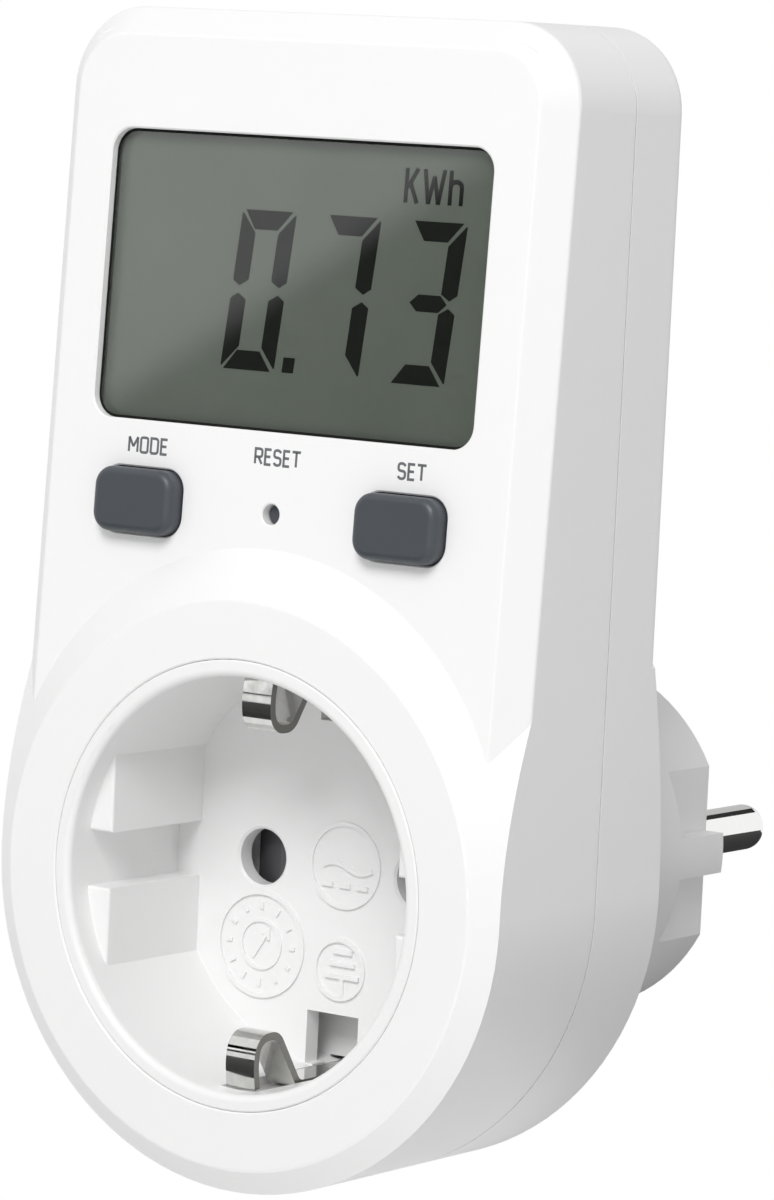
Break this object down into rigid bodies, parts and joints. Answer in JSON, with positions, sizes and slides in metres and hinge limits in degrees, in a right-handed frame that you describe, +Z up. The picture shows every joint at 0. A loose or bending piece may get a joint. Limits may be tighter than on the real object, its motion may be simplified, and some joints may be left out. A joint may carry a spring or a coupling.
{
  "type": "plug-in power meter",
  "caption": "Plug-in power meter: earthed plug at the back, socket well and tall case with display and buttons in front.",
  "frame": {"origin": "centre of the plug's end face, between the two pins", "axes": "+Y out of the plug's end face, along the pins towards the wall socket; +Z up towards the display; +X to the right, seen from the front"},
  "size_m": [0.0596, 0.0788, 0.1128],
  "materials": {
    "white_case": "satin gloss, moulded",
    "white_socket": "satin gloss, moulded",
    "clear_pane": "clear, polished",
    "display_glass": "grey-green, smooth",
    "display_sheet": "matte reflector",
    "grey_key": "satin, dark grey",
    "black_plastic": "matte black",
    "natural_plastic": "matte, undyed",
    "zebra_rubber": "soft, striped",
    "board_green": "lacquered",
    "chip_black": "matte",
    "film_red": "dipped",
    "can_sleeve": "shrunk sleeve",
    "disc_blue": "lacquered",
    "resistor_body": "lacquered",
    "steel": "bright",
    "tinned_strip": "tinned spring strip",
    "contact_brass": "formed strip",
    "plated_pin": "nickel plated",
    "shunt_metal": "rolled",
    "wire_red": "insulated lead",
    "wire_blue": "insulated lead",
    "screw_steel": "zinc plated"
  },
  "bodies": {
    "case": {"front_cover": "white_case", "rear_cover": "white_case", "socket_insert": "white_socket", "display_window": "clear_pane", "display_cell": "display_glass", "display_holder": "natural_plastic", "display_backing": "display_sheet", "connector_strip": "zebra_rubber", "circuit_board": "board_green", "mode_switch": "black_plastic", "set_switch": "black_plastic", "reset_switch": "black_plastic", "metering_chip": "chip_black", "film_capacitor": "film_red", "smoothing_capacitor": "can_sleeve", "varistor": "disc_blue", "crystal": "steel", "fuse_resistor": "resistor_body", "cell_holder": "black_plastic", "backup_cells": "steel", "cell_clip": "tinned_strip", "current_shunt": "shunt_metal", "contact_carrier": "white_socket", "shutter_spring": "steel", "neutral_contact": "contact_brass", "live_contact": "contact_brass", "left_pin": "plated_pin", "right_pin": "plated_pin", "upper_earth_strip": "tinned_strip", "lower_earth_strip": "tinned_strip", "earth_bridge": "tinned_strip", "case_screws": "screw_steel", "board_screws": "screw_steel", "supply_lead": "wire_red", "switched_lead": "wire_red", "neutral_lead": "wire_blue"},
    "mode_key": {"mode_button": "grey_key", "mode_plunger": "natural_plastic"},
    "set_key": {"set_button": "grey_key", "set_plunger": "natural_plastic"},
    "reset_key": {"reset_plunger": "natural_plastic"},
    "shutter": {"pin_shutter": "black_plastic"}
  },
  "joints": [
    {"name": "mode_press", "type": "slide", "parent": "case", "child": "mode_key", "axis": [0, 0.9985, -0.0546], "range_m": [0, 0.0005], "stiffness_N_per_m": 1500, "springref_m": -0.0003},
    {"name": "set_press", "type": "slide", "parent": "case", "child": "set_key", "axis": [0, 0.9985, -0.0546], "range_m": [0, 0.0005], "stiffness_N_per_m": 1500, "springref_m": -0.0003},
    {"name": "reset_press", "type": "slide", "parent": "case", "child": "reset_key", "axis": [0, 0.9985, -0.0546], "range_m": [0, 0.0005], "stiffness_N_per_m": 1500, "springref_m": -0.0003},
    {"name": "shutter_slide", "type": "slide", "parent": "case", "child": "shutter", "axis": [1, 0, 0], "range_m": [0, 0.0063], "stiffness_N_per_m": 60, "springref_m": -0.002, "deforming": ["shutter_spring"]}
  ]
}
